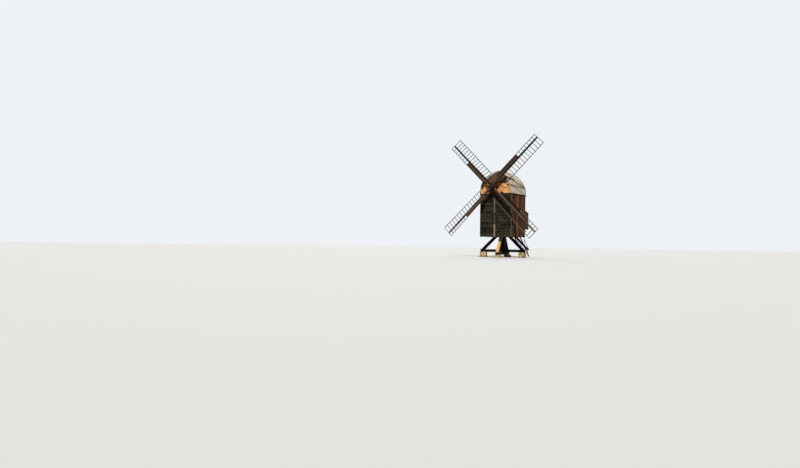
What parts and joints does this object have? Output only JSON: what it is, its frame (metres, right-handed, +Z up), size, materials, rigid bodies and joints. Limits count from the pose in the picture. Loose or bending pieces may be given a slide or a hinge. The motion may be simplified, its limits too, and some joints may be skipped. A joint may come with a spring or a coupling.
{
  "type": "post mill",
  "caption": "Boarded timber post mill with a pointed curved roof, a rear gallery with stair and tail pole, and twisted lattice sails on a turning body.",
  "frame": {"origin": "middle of the whole mill's outline at ground level; the post's axis stands 2.535 m in front of it", "axes": "+Z up; the sails face -Y, the gallery and tail pole are towards +Y, and +X is to the right as seen from the front"},
  "size_m": [15.3044, 14.749, 18.0273],
  "materials": {
    "old_timber": "weathered, nearly black",
    "frame_timber": "hewn, aged brown",
    "floor_boards": "worn",
    "fresh_timber": "newly sawn",
    "dark_boards": "weathered, charcoal",
    "side_boards": "weathered, brown with grey",
    "grey_board": "weathered, pale grey",
    "new_boards": "fresh, orange brown",
    "old_boards": "old, reddish brown",
    "roof_shingles": "weathered, silver grey",
    "gallery_roofing": "weathered, dark",
    "sandstone": "rough",
    "sail_timber": "weathered, brown grey",
    "stock_timber": "weathered, dark"
  },
  "bodies": {
    "trestle": {"piers": "sandstone", "lower_cross_tree": "old_timber", "upper_cross_tree": "old_timber", "main_post": "old_timber", "quarter_bars": "old_timber", "new_quarter_bar": "fresh_timber", "post_collar": "old_timber"},
    "mill_body": {"sheers": "old_timber", "sills": "old_timber", "lower_floor": "floor_boards", "wall_posts": "frame_timber", "side_girts": "frame_timber", "crown_tree": "frame_timber", "upper_floor": "floor_boards", "top_plates": "frame_timber", "roof_arches": "frame_timber", "breast_beam": "frame_timber", "tail_beam": "frame_timber", "front_wall_left": "dark_boards", "front_wall_right": "dark_boards", "front_centre_board": "grey_board", "left_wall": "side_boards", "right_wall": "side_boards", "rear_wall": "side_boards", "rear_door": "side_boards", "gable_new_boards": "new_boards", "gable_old_boards": "old_boards", "rear_gable": "side_boards", "roof_left": "roof_shingles", "roof_right": "roof_shingles", "ridge_cap": "roof_shingles", "gallery_floor": "floor_boards", "gallery_frame": "frame_timber", "gallery_boards": "side_boards", "gallery_roof": "gallery_roofing", "stair_strings": "frame_timber", "stair_treads": "floor_boards", "stair_rails": "frame_timber", "tail_pole": "old_timber"},
    "sail_cross": {"windshaft": "frame_timber", "outer_stock": "stock_timber", "inner_stock": "stock_timber", "sail_lattice_1": "sail_timber", "sail_lattice_2": "sail_timber", "sail_lattice_3": "sail_timber", "sail_lattice_4": "sail_timber", "outer_wind_boards": "sail_timber", "inner_wind_boards": "sail_timber"}
  },
  "joints": [
    {"name": "body_turn", "type": "hinge", "parent": "trestle", "child": "mill_body", "pos_m": [0, -2.53546, 6.9], "axis": [0, 0, 1], "continuous": true},
    {"name": "sail_turn", "type": "hinge", "parent": "mill_body", "child": "sail_cross", "pos_m": [0, -6.33046, 10.45], "axis": [0, -0.9945, 0.1045], "continuous": true}
  ]
}
